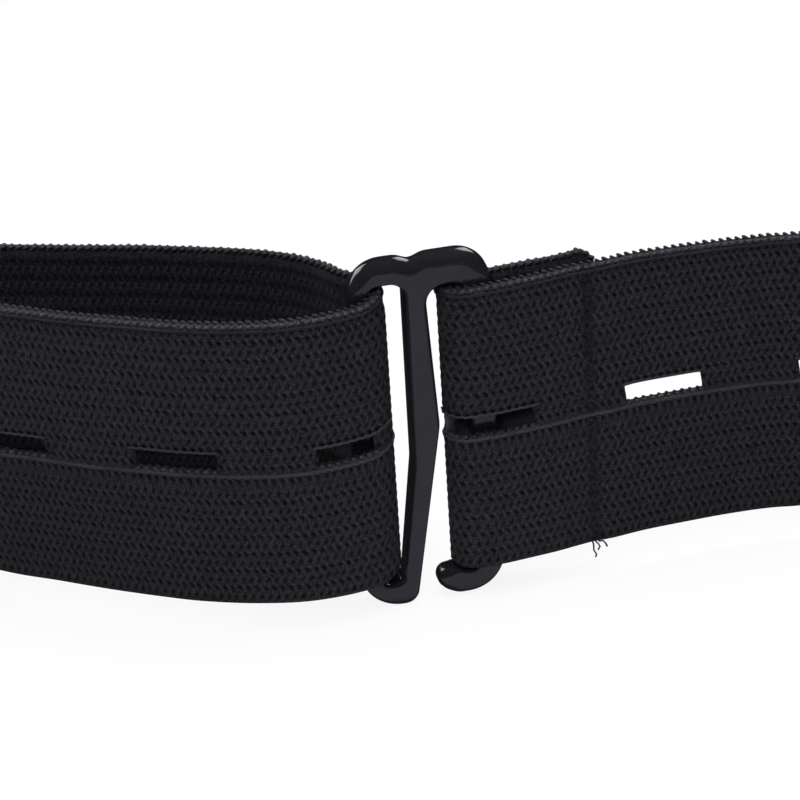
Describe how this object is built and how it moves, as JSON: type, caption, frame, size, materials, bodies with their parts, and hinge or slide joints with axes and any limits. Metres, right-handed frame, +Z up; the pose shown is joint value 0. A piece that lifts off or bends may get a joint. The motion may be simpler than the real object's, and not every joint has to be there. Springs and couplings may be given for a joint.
{
  "type": "elastic shirt-stay belt with a cast swan hook",
  "caption": "Closed waist ring of black knitted buttonhole elastic, sewn round one bar of a flat cast hook and looped through its other side, with the tail fastened inside.",
  "frame": {"origin": "under the middle of the ring, at the level of the floor it stands on", "axes": "+Z up along the strip's width, -Y out of the front where the hook is, +X to the right as the hook is seen from the front"},
  "size_m": [0.2462, 0.2396, 0.0463],
  "materials": {
    "elastic": "matte knit with a corded ridge below the slots and a beaded upper edge",
    "black_coat": "glossy black coat on a smooth casting",
    "black_plastic": "plain matte"
  },
  "bodies": {
    "root": {"elastic_band": "elastic", "swan_hook": "black_coat", "tail_stud": "black_plastic"}
  },
  "joints": []
}
